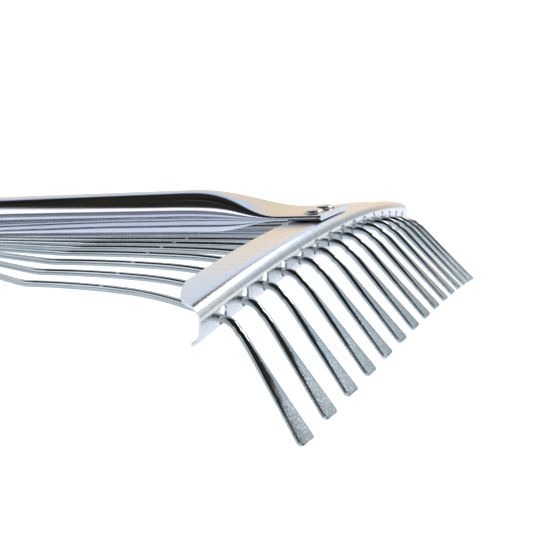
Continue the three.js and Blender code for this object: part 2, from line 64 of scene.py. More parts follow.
WIRE_R, TINE_Z, PIN, HOOK_RUN = 1.6, -12.4, 6.2, 1.9
CARRIER_Y, TRAVEL, TURN_SHARE, LEG_FAN = 250.0, 130.0, 0.9, 3.58e-3
NEAR_RISE, NEAR_RUN = 3.0, 55.0
EXIT = ((1.5, 0), (3.0, 0.14), (4.4, 0.50), (5.8, 1.02), (7.1, 1.75), (8.2, 2.8), (9.1, 4.0))
BEND, TIP = (7.8, 1.6), (38.0, 36.7)  # reach and drop from the slot, as in EXIT
TIP_W, TIP_T, TIP_ROUND, TIP_EDGE = 7.4, 1.9, 1.5, 0.5
CARRIER_RIVETS, RIVET_Y, PIN_HOLE = (-35, -20, 20, 35), CARRIER_Y + 9.75, 1.9
LEVER_X, BOLT_Y, BOLT_Z, BOLT_HOLE = -13.5, CARRIER_Y + 12, 18.5, 2.8

# ---- the tube's frame in the row's frame ----

joints = {joint["name"]: joint for joint in frame["joints"]}
along = Vector(joints["handle_telescope"]["axis"]).normalized()
across = Vector((1, 0, 0))
TUBE = Matrix((across, along, across.cross(along))).transposed().to_4x4()
TUBE.translation = Vector(joints["collar_twist"]["pos_m"]) - along * TUBE_END * MM
PLATE = Matrix.Rotation(TILT, 4, "X")  # plate face to tube frame, millimetres


def placed(point):
    return TUBE @ (Vector(point) * MM)


# ---- meshes ----


def finish_mesh(name, mesh, material, body, nodes=(), sharp=40):
    mesh.shade_smooth()
    mesh.set_sharp_from_angle(angle=math.radians(sharp))
    mesh.materials.append(material)
    piece = bpy.data.objects.new(name, mesh)
    bpy.context.scene.collection.objects.link(piece)
    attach(piece, body)
    if nodes:
        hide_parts(*nodes)
    return piece


def loft(name, rings, closed=False):
    """A skin over rings of points in the tube's frame, joined end to end or capped.

    Its map runs round the rings, then along them, in millimetres.
    """
    count, rows = len(rings[0]), len(rings)
    made = bmesh.new()
    verts = [[made.verts.new(placed(p)) for p in ring] for ring in rings]
    uv = made.loops.layers.uv.new("run")
    run = [0.0]
    for k in range(1, rows + 1):
        before, after = rings[k - 1], rings[k % rows]
        step = (Vector(after[0]) - Vector(before[0])).length
        run.append(run[-1] + (centre_of(after) - centre_of(before)).length * 0.999 + step * 0.001)
    for r in range(rows if closed else rows - 1):
        near, far = verts[r], verts[(r + 1) % rows]
        girth = sum((Vector(rings[r][k]) - Vector(rings[r][k - 1])).length for k in range(count))
        for k in range(count):
            n = (k + 1) % count
            face = made.faces.new((near[k], far[k], far[n], near[n]))
            places = ((k, r), (k, r + 1), (k + 1, r + 1), (k + 1, r))
            for loop, (a, b) in zip(face.loops, places):
                loop[uv].uv = (a / count * girth, run[b])
    if not closed:
        for ring in (verts[0], verts[-1]):
            made.faces.new(ring)
    return closed_mesh(name, made)


def centre_of(ring):
    return sum((Vector(p) for p in ring), Vector()) / len(ring)


def closed_mesh(name, made):
    bmesh.ops.recalc_face_normals(made, faces=made.faces)
    mesh = bpy.data.meshes.new(name)
    made.to_mesh(mesh)
    made.free()
    return mesh


def lathe(name, profile, sides=96, axis="Y", centre=(0, 0, 0), shape=None, closed=False):
    """A closed surface of revolution. The profile is [radius, place along the axis] from end to end."""
    rings = []
    for radius, place in profile:
        ring = []
        for k in range(sides):
            angle = k / sides * TAU
            r = radius if shape is None else shape(radius, place, angle)
            a, b = r * math.cos(angle), r * math.sin(angle)
            point = {"X": (place, a, b), "Y": (b, place, a), "Z": (a, b, place)}[axis]
            ring.append(Vector(point) + Vector(centre))
        rings.append(ring)
    return loft(name, rings, closed)


# ---- cross plate and tine geometry ----


def sweep(x):
    return PLATE_SWEEP * (x / PLATE_HALF) ** 2


def arch(x):
    return PLATE_DROP * (x / PLATE_HALF) ** 2


def slot_drop(x):
    return SLOT_DROP * (x / PLATE_HALF) ** 2


def slot_point(x):
    return PLATE @ Vector((x, sweep(x) + SHEET / 2, SLOT_BOTTOM + SLOT_W / 2 - slot_drop(x)))


def slot_places():
    return [PITCH * (k - (TINES - 1) / 2) for k in range(TINES)]


def bow_point(x, pivot, travel):
    slot = slot_point(x)
    lengthways, side = CARRIER_Y - slot.y, x - pivot
    opening = math.atan2(side, lengthways - TRAVEL) - math.atan2(side, lengthways)
    angle = math.atan2(side, lengthways - travel) - TURN_SHARE * opening * travel / TRAVEL
    distance = math.hypot(side, lengthways - travel)
    return distance * math.sin(angle), -distance * math.cos(angle)


def rise(slot, distance):
    """Height of a wire above its slot, at a distance behind it."""
    total = TINE_Z - slot.z
    near = min(total, NEAR_RISE)
    share = (distance - TRAVEL + 5) / (CARRIER_Y - slot.y - TRAVEL + 5)
    share = min(max(share, 0.0), 1.0)
    late = (share * share * (3 - 2 * share)) ** 0.65
    return near * math.sin(min(distance / NEAR_RUN, 1.0) * math.pi / 2) + (total - near) * late


def leg_sections():
    """Share of the leg's length, width and thickness, widening to a rounded tip."""
    sections = [(0.09, 2 * WIRE_R, 2 * WIRE_R), (0.17, 2 * WIRE_R, 2 * WIRE_R), (0.25, 3.4, 3.05),
                (0.33, 3.8, 2.85), (0.42, 4.3, 2.65), (0.5, 4.8, 2.5), (0.6, 5.3, 2.35), (0.7, 5.85, 2.2),
                (0.8, 6.45, 2.05), (0.88, 6.95, 1.95), (0.95, TIP_W, TIP_T)]
    length = math.hypot(TIP[0] - BEND[0], TIP[1] - BEND[1])
    for inset in (1.5, 1.0, 0.6, 0.3, 0.1, 0.0):
        trim = TIP_ROUND - math.sqrt(TIP_ROUND ** 2 - (TIP_ROUND - inset) ** 2)
        edge = TIP_EDGE * max(0.0, 1 - inset / 0.6) ** 2
        sections.append((1 - inset / length, TIP_W - 1.7 * trim, TIP_T - edge))
    return sections


def tine_path(x, pivot):
    """Points of one wire from its pivot pin to its tip: place, width and thickness."""
    slot, heading, wire = slot_point(x), LEG_FAN * x, 2 * WIRE_R
    path = []

    def put(px, py, pz, width=wire, thick=wire):
        path.append((Vector((px + pivot, py + CARRIER_Y, pz)), width, thick))

    put(0, 0, TINE_Z - PIN)
    for back, down in ((0, 3.2), (0.12, HOOK_RUN), (0.55, 0.6)):
        put(0, -back, TINE_Z - down)
    rear = bow_point(x, pivot, TRAVEL)
    start = math.atan2(rear[0], -rear[1])
    put(HOOK_RUN * math.sin(start), -HOOK_RUN * math.cos(start), TINE_Z)
    behind = CARRIER_Y - slot.y
    places = [(rear[0] * share, rear[1] * share) for share in np.linspace(0.08, 0.94, 14)]
    places += [bow_point(x, pivot, TRAVEL * k / 20) for k in range(20, -1, -1)]
    for px, py in places:
        put(px, py, slot.z + rise(slot, behind + py))
    foot = bow_point(x, pivot, 0)

    def out(reach, drop, width=wire, thick=wire):
        put(foot[0] + reach * math.sin(heading), foot[1] - reach * math.cos(heading),
            slot.z - drop, width, thick)

    for reach, drop in EXIT:
        out(reach, drop)
    for share, width, thick in leg_sections():
        reach, drop = (bend + (tip - bend) * share for bend, tip in zip(BEND, TIP))
        out(reach, drop, width, thick)
    return path


WIRE_SECTION = 28


def wire_rings(path):
    """Flat-sided sections square to the path, their width held level."""
    rings = []
    for k, (at, width, thick) in enumerate(path):
        before, after = path[max(k - 1, 0)][0], path[min(k + 1, len(path) - 1)][0]
        direction = (after - before).normalized()
        level = Vector((after.x - before.x, after.y - before.y, 0))
        if level.length < 0.3:
            level = Vector((0, -1, 0))
        side = Vector((0, 0, 1)).cross(level).normalized()
        up = direction.cross(side).normalized()
        flat = (width - thick) / 2
        ring = []
        for n in range(WIRE_SECTION):
            angle = (n + 0.5) / WIRE_SECTION * TAU
            wide = math.copysign(flat, math.cos(angle)) + thick / 2 * math.cos(angle)
            ring.append(at + side * wide + up * (thick / 2 * math.sin(angle)))
        rings.append(ring)
    return rings


def pinch_ring(y, radius, thick, sides=64):
    t = min(max((y - PINCH_FLAT) / (PINCH_ROUND - PINCH_FLAT), 0.0), 1.0)
    ease = t * t * (3 - 2 * t)
    height = thick + (2 * radius - thick) * math.sin(ease * math.pi / 2)
    straight = math.pi * (2 * radius - height) / 4
    z = -PINCH_DROP * (1 - ease)
    ring = []
    for k in range(sides):
        angle = (k + 0.5) / sides * TAU
        reach = math.copysign(straight, math.cos(angle)) + height / 2 * math.cos(angle)
        ring.append((reach, y, z + height / 2 * math.sin(angle)))
    return ring


def plate_profile():
    """Outer line of the folded sheet: flange, fold, face and curled lip, as [y, z]."""
    lean = math.sin(TILT)
    centre = (FLANGE_Z - FOLD_R * (1 + lean)) / math.cos(TILT)
    path = [(y, (FLANGE_Z - y * lean) / math.cos(TILT)) for y in (FLANGE_DEPTH, 17.0, 13.0, 9.5)]
    for k in range(13):
        angle = -TILT + k / 12 * (math.pi / 2 + TILT)
        path.append((FOLD_R * (1 - math.sin(angle)), centre + FOLD_R * math.cos(angle)))
    face_top = path[-1][1]
    path += [(0.0, face_top + (LIP_Z - face_top) * share) for share in (0.35, 0.7)]
    for k in range(11):
        angle = k / 10 * LIP_TURN
        path.append((LIP_R * (1 - math.cos(angle)), LIP_Z - LIP_R * math.sin(angle)))
    return path


def sheet_ring(path, thick):
    def side(offset):
        points = []
        for k in range(len(path)):
            (ya, za), (yb, zb) = path[max(k - 1, 0)], path[min(k + 1, len(path) - 1)]
            length = math.hypot(yb - ya, zb - za)
            y, z = path[k]
            points.append((y - (zb - za) / length * offset, z + (yb - ya) / length * offset))
        return points

    round_edge = 0.12
    outer, inner = side(0), side(thick)
    middle = side(thick / 2)
    first = (middle[0][0] + round_edge, middle[0][1])
    (ya, za), (yb, zb) = path[-2], path[-1]
    length = math.hypot(yb - ya, zb - za)
    last = (middle[-1][0] + (yb - ya) / length * round_edge, middle[-1][1] + (zb - za) / length * round_edge)
    return outer + [last] + inner[::-1] + [first]


def build_cross_plate():
    section = sheet_ring(plate_profile(), SHEET)
    rings = []
    for x in np.linspace(-PLATE_HALF, PLATE_HALF, 121):
        rings.append([PLATE @ Vector((x, y + sweep(x), z - arch(x))) for y, z in section])
    body = loft("cross_plate_body", rings)
    back, steps = FLANGE_DEPTH + PLATE_SWEEP, 40
    corners = []
    for side in (-1, 1):
        curve = []
        for k in range(steps + 1):
            angle = math.pi / 2 * k / steps
            x = PLATE_HALF - CORNER_ALONG * (1 - math.sin(angle))
            curve.append((side * x, back - CORNER_DEEP * (1 - math.cos(angle))))
        x, y = PLATE_HALF + 3, back + 3
        outline = curve + [(side * x, curve[-1][1]), (side * x, y), (side * (PLATE_HALF - CORNER_ALONG), y)]
        corners.append((outline, -60, 10))
    trimmed = boolean(body, cutter("corners", corners, lambda u, v, w: PLATE @ Vector((u, v, w))))
    slots = []
    for x in slot_places():
        r = SLOT_W / 2
        top, bottom = SLOT_BOTTOM + SLOT_H - r - slot_drop(x), SLOT_BOTTOM + r - slot_drop(x)
        outline = arc(x, top, r, 0, 180, 16) + arc(x, bottom, r, 180, 360, 16)
        slots.append((outline, sweep(x) - 6, sweep(x) + 5))
    return boolean(trimmed, cutter("slots", slots, lambda u, v, w: PLATE @ Vector((u, w, v))))


def cutter(name, outlines, make_point):
    """Prisms from outlines in two measures, for a boolean."""
    made = bmesh.new()
    for outline, low, high in outlines:
        a = [made.verts.new(placed(make_point(u, v, low))) for u, v in outline]
        b = [made.verts.new(placed(make_point(u, v, high))) for u, v in outline]
        made.faces.new(a)
        made.faces.new(b[::-1])
        for k in range(len(outline)):
            n = (k + 1) % len(outline)
            made.faces.new((a[n], a[k], b[k], b[n]))
    mesh = closed_mesh(name, made)
    tool = bpy.data.objects.new(name, mesh)
    bpy.context.scene.collection.objects.link(tool)
    return tool


def boolean(mesh, tool, operation="DIFFERENCE"):
    """The mesh after a boolean with the tool object, which is removed."""
    work = bpy.data.objects.new("work", mesh)
    bpy.context.scene.collection.objects.link(work)
    modifier = work.modifiers.new("cut", "BOOLEAN")
    modifier.operation, modifier.object, modifier.solver = operation, tool, "EXACT"
    result = evaluated(work)
    for used in (work, tool):
        bpy.data.objects.remove(used)
    return result


def evaluated(obj):
    depsgraph = bpy.context.evaluated_depsgraph_get()
    depsgraph.update()
    result = bpy.data.meshes.new_from_object(obj.evaluated_get(depsgraph))
    result.name = obj.data.name + "_cut"
    return result


def bevelled(mesh, width, segments=2, angle=35):
    """The mesh with its sharp edges rounded by width, in millimetres."""
    work = bpy.data.objects.new("work", mesh)
    bpy.context.scene.collection.objects.link(work)
    weld = work.modifiers.new("weld", "WELD")
    weld.merge_threshold = 1e-6
    flatten = work.modifiers.new("flatten", "DECIMATE")
    flatten.decimate_type, flatten.angle_limit = "DISSOLVE", math.radians(0.6)
    bevel = work.modifiers.new("bevel", "BEVEL")
    bevel.width, bevel.segments, bevel.angle_limit = width * MM, segments, math.radians(angle)
    bevel.harden_normals = False
    result = evaluated(work)
    bpy.data.objects.remove(work)
    return result


def arc(cx, cy, r, start, end, steps):
    return [(cx + r * math.cos(math.radians(start + (end - start) * k / steps)),
             cy + r * math.sin(math.radians(start + (end - start) * k / steps))) for k in range(steps + 1)]


# ---- materials ----


class Shader:
    """A node material around one Principled shader."""

    def __init__(self, name, **values):
        self.material = bpy.data.materials.new(name)
        self.material.use_nodes = True
        self.tree = self.material.node_tree
        self.bsdf = self.tree.nodes["Principled BSDF"]
        for socket, value in values.items():
            self.bsdf.inputs[socket.replace("_", " ")].default_value = value

    def node(self, kind, **settings):
        made = self.tree.nodes.new("ShaderNode" + kind)
        for key, value in settings.items():
            setattr(made, key, value)
        return made

    def link(self, output, target):
        self.tree.links.new(output, target)

    def fill(self, node, values):
        for key, value in values.items():
            if isinstance(value, bpy.types.NodeSocket):
                self.link(value, node.inputs[key])
            else:
                node.inputs[key].default_value = value
        return node

    def coords(self, scale, source="run"):
        mapping = self.node("Mapping")
        mapping.inputs["Scale"].default_value = scale
        if source == "run":
            self.link(self.node("UVMap", uv_map="run").outputs["UV"], mapping.inputs["Vector"])
        else:
            self.link(self.node("TexCoord").outputs["Object"], mapping.inputs["Vector"])
        return mapping.outputs["Vector"]

    def noise(self, vector, scale, detail=3.0, rough=0.55, distortion=0.0):
        made = self.fill(self.node("TexNoise"), {
            "Vector": vector, "Scale": scale, "Detail": detail, "Roughness": rough, "Distortion": distortion})
        return made.outputs["Fac"]

    def ramp(self, factor, stops, interpolation="LINEAR"):
        made = self.node("ValToRGB")
        made.color_ramp.interpolation = interpolation
        elements = made.color_ramp.elements
        while len(elements) < len(stops):
            elements.new(0.5)
        for element, (place, colour) in zip(elements, stops):
            element.position = place
            element.color = (*colour, 1) if len(colour) == 3 else colour
        self.link(factor, made.inputs["Fac"])
        return made.outputs["Color"]

    def scaled(self, factor, low, high, start=0.0, end=1.0):
        made = self.fill(self.node("MapRange"), {
            "Value": factor, "From Min": start, "From Max": end, "To Min": low, "To Max": high})
        return made.outputs["Result"]

    def math(self, operation, a, b):
        made = self.node("Math", operation=operation)
        self.fill(made, {0: a, 1: b})
        return made.outputs["Value"]

    def mix(self, factor, a, b, blend="MIX"):
        made = self.node("Mix", data_type="RGBA", blend_type=blend)
        for index, value in ((0, factor), (6, a), (7, b)):
            if isinstance(value, bpy.types.NodeSocket):
                self.link(value, made.inputs[index])
            else:
                made.inputs[index].default_value = value if index == 0 else (*value, 1)
        return made.outputs[2]

    def bump(self, height, strength, distance, before=None):
        made = self.fill(self.node("Bump"), {"Height": height, "Strength": strength, "Distance": distance})
        if before is not None:
            self.link(before, made.inputs["Normal"])
        return made.outputs["Normal"]

    def finish(self, **sockets):
        for socket, output in sockets.items():
            self.link(output, self.bsdf.inputs[socket.replace("_", " ")])
        return self.material


def spots(shader, vector, scale, size):
    """1 inside small scattered spots, 0 outside."""
    cells = shader.fill(shader.node("TexVoronoi"), {"Vector": vector, "Scale": scale})
    return shader.scaled(cells.outputs["Distance"], 1.0, 0.0, size * 0.6, size)


def polished_zinc(name, streak, dull, bright, rough, frost=0.0):
    """Bright plated steel: drawing marks along the run, a faint passivation tint, a few nicks.

    Frost is how far from the run's start, in millimetres, the surface is blasted matt.
    """
    s = Shader(name, Metallic=1.0)
    lines = s.noise(s.coords(streak), 1.0, 4.0, 0.6)
    clouds = s.noise(s.coords((1, 1, 1), "object"), 60.0, 3.0)
    colour = s.mix(clouds, dull, bright)
    shade = s.ramp(lines, [(0.3, (0.84, 0.85, 0.87)), (0.62, (1, 1, 1))])
    colour = s.mix(0.8, colour, shade, "MULTIPLY")
    nicks = spots(s, s.coords((0.22, 0.045, 1)), 1.0, 0.07)
    wear = s.math("ADD", s.scaled(lines, rough[0], rough[1], 0.3, 0.75), s.math("MULTIPLY", nicks, 0.25))
    normal = s.bump(lines, 0.08, 0.0002)
    normal = s.bump(nicks, 0.5, 0.0002, normal)
    if frost:
        speckle = s.noise(s.coords((1, 1, 1), "object"), 1500.0, 2.0, 0.7)
        run = s.fill(s.node("SeparateXYZ"), {"Vector": s.coords((1, 1, 1))}).outputs["Y"]
        ragged = s.math("ADD", run, s.scaled(clouds, -4.0, 4.0, 0.3, 0.7))
        matt = s.scaled(ragged, 1.0, 0.0, frost * 0.45, frost)
        sparkle = s.ramp(speckle, [(0.45, (0.40, 0.45, 0.45)), (0.64, (0.88, 0.92, 0.94))])
        colour = s.mix(s.math("MULTIPLY", matt, 0.75), colour, sparkle)
        wear = s.math("ADD", wear, s.math("MULTIPLY", matt, 0.22))
        normal = s.bump(s.math("MULTIPLY", speckle, matt), 0.45, 0.0003, normal)
    colour = s.mix(s.math("MULTIPLY", nicks, 0.6), colour, (1, 1, 1))
    return s.finish(Base_Color=colour, Roughness=wear, Normal=normal)


def brushed_zinc(name, along_run=True):
    """Satin plated sheet: fine rolling streaks across the fan, warm clouds, specks and rubbed spots."""
    s = Shader(name, Metallic=1.0)

    def stretched(fine, coarse):
        if along_run:
            return s.coords((coarse, fine, 1))
        return s.coords((coarse / MM, fine / MM, fine / MM), "object")

    streaks = s.noise(stretched(1.6, 0.03), 1.0, 5.0, 0.65)
    broad = s.noise(stretched(0.3, 0.012), 1.0, 3.0)
    clouds = s.noise(s.coords((1, 1, 1), "object"), 26.0, 3.0)
    colour = s.mix(clouds, (0.84, 0.84, 0.88), (0.93, 0.90, 0.86))
    colour = s.mix(0.75, colour, s.ramp(streaks, [(0.28, (0.80, 0.80, 0.81)), (0.66, (1, 1, 1))]), "MULTIPLY")
    specks = spots(s, stretched(0.42, 0.11), 1.0, 0.085)
    colour = s.mix(s.math("MULTIPLY", specks, 0.55), colour, (0.42, 0.40, 0.40))
    wear = s.scaled(streaks, 0.18, 0.30, 0.3, 0.75)
    wear = s.math("ADD", wear, s.scaled(broad, -0.05, 0.06, 0.3, 0.7))
    normal = s.bump(streaks, 0.14, 0.0002)
    normal = s.bump(specks, 0.3, 0.0002, normal)
    return s.finish(Base_Color=colour, Roughness=wear, Normal=normal)


def cast_zinc(name, warm=(0.80, 0.76, 0.66)):
    """Upset and turned fasteners, warmer and duller than the sheet, with fine pits."""
    s = Shader(name, Metallic=1.0)
    grain = s.noise(s.coords((1, 1, 1), "object"), 900.0, 4.0)
    clouds = s.noise(s.coords((1, 1, 1), "object"), 160.0, 3.0)
    colour = s.mix(clouds, warm, (0.86, 0.86, 0.84))
    wear = s.scaled(grain, 0.2, 0.4, 0.3, 0.7)
    normal = s.bump(grain, 0.18, 0.0003)
    return s.finish(Base_Color=colour, Roughness=wear, Normal=normal)


def moulded(name, colour, gloss, grain_scale, grain_depth):
    """Moulded plastic or rubber with a spark-eroded grain, faint dust and rubbed sheen."""
    s = Shader(name, Metallic=0.0, Specular_IOR_Level=0.45)
    grain = s.noise(s.coords((1, 1, 1), "object"), grain_scale, 2.0)
    clouds = s.noise(s.coords((1, 1, 1), "object"), 45.0, 4.0)
    lighter = tuple(c * 1.9 + 0.012 for c in colour)
    base = s.mix(s.scaled(clouds, 0, 1, 0.4, 0.75), colour, lighter)
    wear = s.math("ADD", s.scaled(clouds, gloss - 0.08, gloss + 0.1, 0.35, 0.7), s.scaled(grain, -0.05, 0.05))
    return s.finish(Base_Color=base, Roughness=wear, Normal=s.bump(grain, grain_depth, 0.0004))


WIRE_STEEL = polished_zinc(
    "wire_zinc", (1.6, 0.03, 1), (0.44, 0.49, 0.50), (0.60, 0.64, 0.65), (0.06, 0.16), frost=24.0)
TUBE_STEEL = polished_zinc(
    "tube_zinc", (0.9, 0.008, 1), (0.64, 0.66, 0.74), (0.74, 0.75, 0.79), (0.06, 0.14))
SHEET_STEEL = brushed_zinc("sheet_zinc")
PRESSED_STEEL = brushed_zinc("pressed_zinc", False)
RIVET_STEEL = cast_zinc("rivet_zinc")
BLACK_PLASTIC = moulded("black_plastic", (0.018, 0.018, 0.02), 0.42, 1400.0, 0.25)
GRIP_RUBBER = moulded("grip_rubber", (0.022, 0.022, 0.023), 0.68, 900.0, 0.5)

# ---- head ----

for index, x in enumerate(slot_places()):
    name = f"tine_{index + 1:02d}"
    body = CARRIER if abs(x) < 1e-6 else name + "_body"
    rings = wire_rings(tine_path(x, x / PITCH * PIVOT_PITCH))
    mesh = loft(name + "_wire", rings[::-1])
    finish_mesh(name + "_wire", mesh, WIRE_STEEL, body, [name], 50)

outer = [PINCH_FRONT, PINCH_FRONT + 0.3, *np.linspace(8, 24, 5), *np.linspace(26, 84, 30), 90, 120,
         *np.linspace(160, TUBE_END - 0.3, 12), TUBE_END]
tube_rings = []
for y in outer:
    chamfer = 0.15 if y in (PINCH_FRONT, TUBE_END) else 0
    tube_rings.append(pinch_ring(y, TUBE_R - chamfer, PINCH_THICK))
inner = [TUBE_END, 400, 200, *np.linspace(PINCH_ROUND, 38, 12)]
tube_rings += [pinch_ring(y, TUBE_R - TUBE_WALL, PINCH_GAP) for y in inner]
finish_mesh("lower_tube_shell", loft("lower_tube_shell", tube_rings),
            TUBE_STEEL, ROOT, ["lower_tube"], 50)

finish_mesh("cross_plate_sheet", build_cross_plate(),
            SHEET_STEEL, ROOT, ["cross_plate"], 40)

RIVET = {"x": 6.2, "y": 12.5, "shank": 2.2, "head": 4.6, "high": 1.5}


def rivet_profile(top, bottom, shank, head, high):
    """Flat foot, shank and low dome with a dished middle, as [radius, height]."""
    foot = [(AXIS, 0.7), (head * 0.7, 0.7), (head * 0.86, 0.45), (head * 0.88, 0)]
    dome = [(head, 0.25), (head * 0.95, 0.5), (head * 0.84, 0.75), (head * 0.66, 0.92), (head * 0.5, 1),
            (head * 0.36, 0.97), (head * 0.22, 0.86), (AXIS, 0.82)]
    profile = [(radius, bottom - high * share) for radius, share in foot]
    profile += [(shank, bottom), (shank, top), (head - 0.15, top), (head, top + 0.15)]
    return profile + [(radius, top + high * share) for radius, share in dome]


plate_top = -PINCH_DROP + PINCH_THICK / 2 + 0.05
for name, x in (("left", -RIVET["x"]), ("right", RIVET["x"])):
    profile = rivet_profile(plate_top, FLANGE_Z - SHEET - 0.3, RIVET["shank"], RIVET["head"], RIVET["high"])
    mesh = lathe("head_rivet_" + name, profile, 48, "Z", (x, RIVET["y"], 0))
    finish_mesh("head_rivet_" + name, mesh, RIVET_STEEL, ROOT, ["plate_rivet_" + name])

# ---- tine carrier ----


def rounded_rect(x0, x1, y0, y1, r):
    corners = ((x1 - r, y1 - r, 0), (x0 + r, y1 - r, 90), (x0 + r, y0 + r, 180), (x1 - r, y0 + r, 270))
    return [point for x, y, start in corners for point in arc(x, y, r, start, start + 90, 8)]


def bezier(p, q, r, s, steps=12):
    points = []
    for k in range(1, steps + 1):
        t = k / steps
        weights = ((1 - t) ** 3, 3 * t * (1 - t) ** 2, 3 * t * t * (1 - t), t ** 3)
        points.append(tuple(sum(w * c[axis] for w, c in zip(weights, (p, q, r, s))) for axis in (0, 1)))
    return points


def prism_mesh(name, prisms, make_point):
    tool = cutter(name, prisms, make_point)
    mesh = tool.data
    bpy.data.objects.remove(tool)
    return mesh


def level(u, v, w):
    """Prisms that stand on the XY plane."""
    return u, v, w


def lengthways(u, v, w):
    """Prisms along X, drawn in YZ."""
    return w, u, v


def circle(x, y, r, sides=48):
    return arc(x, y, r, 0, 360 * (1 - 1 / sides), sides - 1)


def cut_sheet(name, outline, low, high, holes):
    """A flat piece, level in the tube's frame, with round holes and softened edges."""
    mesh = prism_mesh(name, [(outline, low, high)], level)
    drills = [(circle(x, y, r), low - 1, high + 1) for x, y, r in holes]
    return bevelled(boolean(mesh, cutter(name + "_holes", drills, level)), 0.25)


pin_holes = [(x / PITCH * PIVOT_PITCH, CARRIER_Y, PIN_HOLE) for x in slot_places()]
rivet_holes = [(x, RIVET_Y, 2.3) for x in CARRIER_RIVETS]
outline = rounded_rect(-43, 43, CARRIER_Y - 6, CARRIER_Y + 31, 8)
carrier_plate = cut_sheet("carrier_plate_sheet", outline, -16.1, -14.3, pin_holes + rivet_holes)
finish_mesh("carrier_plate_sheet", carrier_plate,
            PRESSED_STEEL, CARRIER, ["carrier_plate"], 30)
outline = rounded_rect(-40, 40, CARRIER_Y + 5.5, CARRIER_Y + 14, 2)
spacer_bar = cut_sheet("spacer_bar", outline, -14.15, -10.65, rivet_holes)
finish_mesh("spacer_bar", spacer_bar, PRESSED_STEEL, CARRIER, ["spacer_strip"], 30)

BAND_IN, BAND_OUT, EAR_IN, EAR_OUT, EAR_TOP = 10.8, 12.4, 2.0, 3.6, 25.0
FLANGE_LOW, FLANGE_HIGH = -10.5, -8.9


def band_half(name, side):
    """An ear, a quarter round over the tube, a leg and a flange over the tines."""
    inner_start = math.degrees(math.acos(EAR_IN / BAND_IN))
    outer_start = math.degrees(math.acos(EAR_OUT / BAND_OUT))
    fillet, reach = 2.4, 42
    line = [(EAR_IN, EAR_TOP), *arc(0, 0, BAND_IN, inner_start, 0, 24)]
    line += [(BAND_IN, FLANGE_LOW), (reach, FLANGE_LOW), (reach, FLANGE_HIGH)]
    line += arc(BAND_OUT + fillet, FLANGE_HIGH + fillet, fillet, 270, 180, 8)
    line += [*arc(0, 0, BAND_OUT, 0, outer_start, 24), (EAR_OUT, EAR_TOP)]
    prism = [(line, CARRIER_Y - 3, CARRIER_Y + 27)]
    mesh = prism_mesh(name, prism, lambda u, v, w: (side * u, w, v))
    holes = [(circle(x, RIVET_Y, 2.3), -14, -4) for x in CARRIER_RIVETS if x > 0]
    mesh = boolean(mesh, cutter(name + "_rivets", holes, lambda u, v, w: (side * u, v, w)))
    ear = [(circle(BOLT_Y, BOLT_Z, BOLT_HOLE), 0, 10)]
    front, back, low, top = CARRIER_Y + 2, CARRIER_Y + 22, 12.8, EAR_TOP
    for edge, outside, start in ((front, CARRIER_Y - 5, 180), (back, CARRIER_Y + 29, 0)):
        inwards = 5 if edge == front else -5
        turn = arc(edge + inwards, top - 5, 5, start, 90, 10)
        trim = [(outside, low), (edge, low), *turn, (edge + inwards, top + 2), (outside, top + 2)]
        ear.append((trim, 0, 10))
    mesh = boolean(mesh, cutter(name + "_ear", ear, lambda u, v, w: (side * w, u, v)))
    return bevelled(mesh, 0.22)


for name, side in (("left", -1), ("right", 1)):
    finish_mesh("band_" + name + "_sheet", band_half("band_" + name + "_sheet", side),
                PRESSED_STEEL, CARRIER, ["band_" + name], 30)
for index, x in enumerate(CARRIER_RIVETS):
    profile = rivet_profile(-8.6, -16.4, 2.0, 3.6, 1.3)
    name = f"carrier_rivet_{index + 1}"
    mesh = lathe(name + "_domed", profile, 40, "Z", (x, RIVET_Y, 0))
    finish_mesh(name + "_domed", mesh, RIVET_STEEL, CARRIER, [name])


BOLT_R = 2.5


def threaded(radius, place, angle):
    """Radius of the bolt's shank, threaded from x = -4 on."""
    pitch, depth, start = 1.25, 0.22, -4.0
    if radius != BOLT_R:
        return radius
    phase = (place / pitch - angle / TAU) % 1
    return radius - depth * (1 - abs(2 * phase - 1)) * min(max(place - start, 0.0), 1.0)


bolt_profile = [(AXIS, LEVER_X + 3.6), (BOLT_R, LEVER_X + 3.6)]
bolt_profile += [(BOLT_R, place) for place in np.arange(LEVER_X + 4, 12.4, 0.16)]
bolt_profile += [(2.35, 12.6), (2.05, 13.0), (AXIS, 13.0)]
bolt = lathe("clamp_bolt_shank", bolt_profile, 32, "X", (0, BOLT_Y, BOLT_Z), threaded)
eye = [(circle(LEVER_X, BOLT_Y, 4.4), BOLT_Z - 2.2, BOLT_Z + 2.2)]
bolt = boolean(bolt, cutter("bolt_eye", eye, level), "UNION")
bore = [(circle(LEVER_X, BOLT_Y, PIN_HOLE), BOLT_Z - 5, BOLT_Z + 5)]
bolt = boolean(bolt, cutter("bolt_bore", bore, level))
finish_mesh("clamp_bolt_eye", bolt, RIVET_STEEL, CARRIER, ["clamp_bolt"], 35)

nut_outline = [(BOLT_Y + 5.2 * math.cos(k * TAU / 6), BOLT_Z + 5.2 * math.sin(k * TAU / 6)) for k in range(6)]
nut = prism_mesh("clamp_nut_hex", [(nut_outline, 3.9, 8.9)], lengthways)
cone = lathe("nut_cone", [(AXIS, 3.7), (4.75, 3.7), (5.35, 4.25), (5.35, 8.55), (4.75, 9.1), (AXIS, 9.1)],
             64, "X", (0, BOLT_Y, BOLT_Z))
cone_tool = bpy.data.objects.new("nut_cone", cone)
bpy.context.scene.collection.objects.link(cone_tool)
nut = boolean(nut, cone_tool, "INTERSECT")
nut_bore = [(circle(BOLT_Y, BOLT_Z, BOLT_HOLE), 0, 12)]
nut = boolean(nut, cutter("nut_bore", nut_bore, lengthways))
finish_mesh("clamp_nut_hex", bevelled(nut, 0.12), RIVET_STEEL, CARRIER, ["clamp_nut"], 25)

